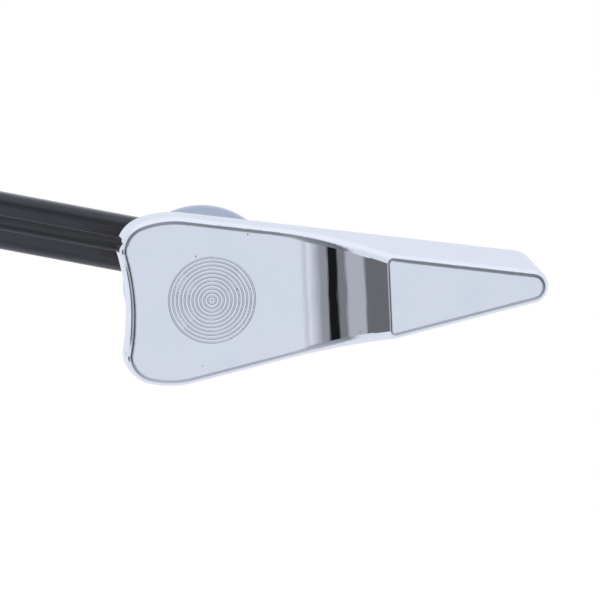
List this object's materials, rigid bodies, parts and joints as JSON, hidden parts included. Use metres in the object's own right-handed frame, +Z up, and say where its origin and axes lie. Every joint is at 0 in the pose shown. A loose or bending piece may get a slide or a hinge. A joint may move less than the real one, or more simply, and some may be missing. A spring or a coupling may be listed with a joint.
{
  "type": "toilet tank trip lever",
  "caption": "Front-mount right-hand flush lever: chrome paddle handle with a raised thumb grip, round escutcheon, threaded shank and black plastic lift arm.",
  "frame": {"origin": "on the pivot axis, in the plane where the outer gasket meets the tank's front wall", "axes": "+Y along the pivot axis into the tank, +X towards the tip of the handle at rest, +Z up"},
  "size_m": [0.2602, 0.0727, 0.0722],
  "materials": {
    "handle_chrome": "polished chrome plate on a zinc casting",
    "escutcheon_chrome": "polished chrome plate on drawn brass",
    "spindle_steel": "turned stainless steel",
    "steel": "stainless steel, lightly brushed",
    "clip_steel": "phosphated spring steel",
    "brass": "turned brass",
    "nut_brass": "turned brass, hexagon stock",
    "acetal": "natural acetal",
    "nylon": "natural nylon",
    "rubber": "moulded black rubber",
    "arm_plastic": "moulded black plastic, semi-gloss"
  },
  "bodies": {
    "mount": {"escutcheon": "escutcheon_chrome", "shank": "brass", "front_bush": "acetal", "rear_bush": "acetal", "tank_gasket": "rubber"},
    "lever": {"handle": "handle_chrome", "spindle": "spindle_steel", "handle_pin": "steel", "front_washer": "nylon", "rear_washer": "steel", "retaining_clip": "clip_steel", "arm": "arm_plastic", "arm_washer": "steel", "arm_screw": "steel"},
    "inner_washers": {"inner_gasket": "rubber", "slip_washer": "nylon"},
    "nut": {"mounting_nut": "nut_brass"}
  },
  "joints": [
    {"name": "handle_pivot", "type": "hinge", "parent": "mount", "child": "lever", "pos_m": [0, 0, 0], "axis": [0, 1, 0], "range_deg": [0, 34]},
    {"name": "nut_travel", "type": "slide", "parent": "mount", "child": "inner_washers", "axis": [0, 1, 0], "range_m": [-0.0034, 0.006]},
    {"name": "nut_turn", "type": "hinge", "parent": "inner_washers", "child": "nut", "pos_m": [0, 0, 0], "axis": [0, 1, 0], "range_deg": [-1530, 867]}
  ],
  "couplings": [
    {"joint": "nut_travel", "follows": "nut_turn", "m_per_rad": -0.00022459}
  ]
}
